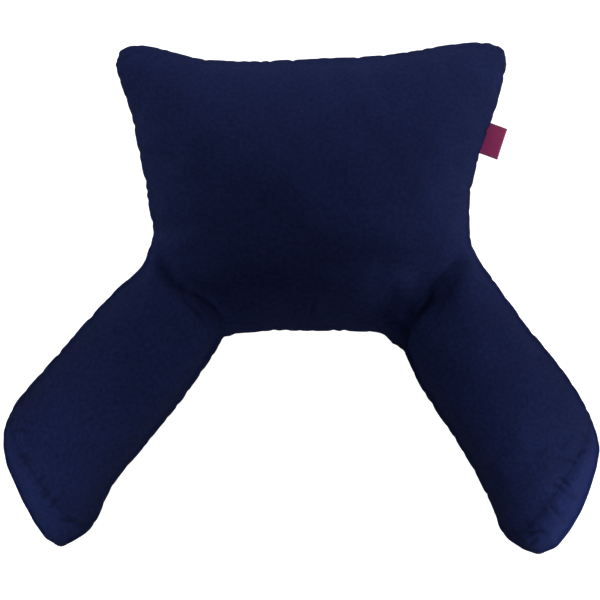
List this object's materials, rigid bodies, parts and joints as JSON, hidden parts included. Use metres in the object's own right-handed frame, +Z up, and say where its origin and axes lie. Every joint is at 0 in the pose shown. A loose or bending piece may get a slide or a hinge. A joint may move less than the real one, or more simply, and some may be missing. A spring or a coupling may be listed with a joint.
{
  "type": "reading pillow with arms",
  "caption": "Filled navy cloth reading pillow: a crowned back cushion with eared top corners and splayed arms closed by domed oval end panels, lying on its back.",
  "frame": {"origin": "on the surface the pillow lies on, under the middle of its outline", "axes": "+X across the pillow, to the side with the label; +Y from the arm tips to the head edge; +Z up, out of the front of the back cushion"},
  "size_m": [0.7126, 0.6141, 0.15],
  "materials": {
    "navy_cotton": "matt navy blue woven cotton and polyester cloth",
    "plum_label": "woven satin ribbon, plum red, plain"
  },
  "bodies": {
    "root": {"back_cushion": "navy_cotton", "arm_left": "navy_cotton", "arm_right": "navy_cotton", "arm_end_left": "navy_cotton", "arm_end_right": "navy_cotton", "side_label": "plum_label"}
  },
  "joints": []
}
